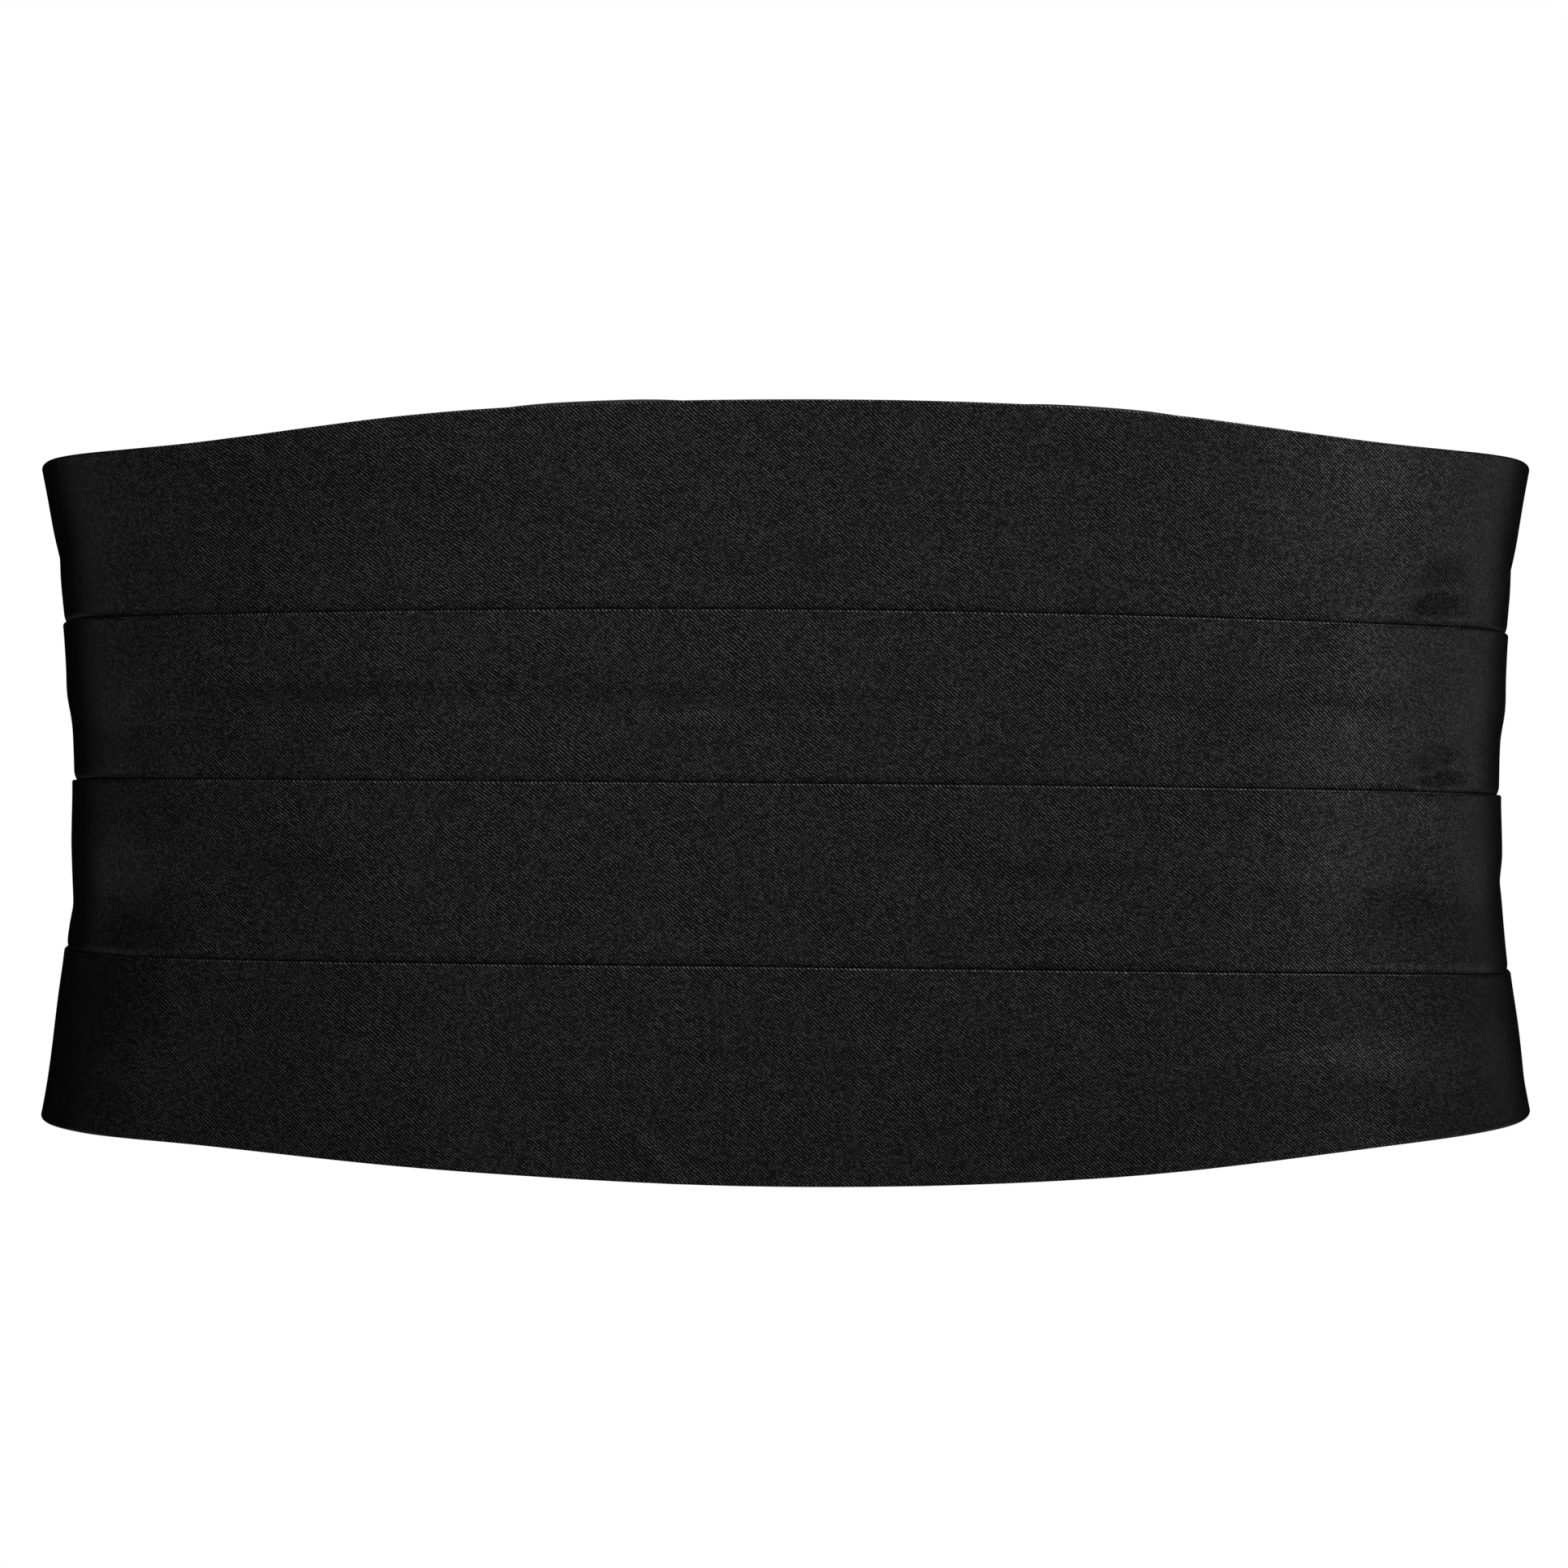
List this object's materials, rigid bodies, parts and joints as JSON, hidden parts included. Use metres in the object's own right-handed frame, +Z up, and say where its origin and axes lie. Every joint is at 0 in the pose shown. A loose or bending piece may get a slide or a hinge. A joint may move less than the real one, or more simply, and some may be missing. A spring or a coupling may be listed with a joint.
{
  "type": "cummerbund",
  "caption": "Black satin waist sash with horizontal pleats that open upwards, worn round the waist and hooked together at the back.",
  "frame": {"origin": "middle of the waist that the band is worn on, at its narrowest height", "axes": "+X towards the wearer's left, -Y the way the wearer faces, +Z up the body"},
  "size_m": [0.277, 0.1926, 0.1402],
  "materials": {
    "satin": "black satin with a soft sheen along its threads",
    "backing_cloth": "matt black lining cloth on a stiff interlining",
    "strap_cloth": "black ribbed webbing",
    "steel": "dark nickel plate, softly polished"
  },
  "bodies": {
    "root": {"backing": "backing_cloth", "pleat_1": "satin", "pleat_2": "satin", "pleat_3": "satin", "pleat_4": "satin", "end_band_left": "satin", "end_band_right": "satin", "strap_left": "strap_cloth", "strap_right": "strap_cloth", "hook": "steel", "eye": "steel"}
  },
  "joints": []
}
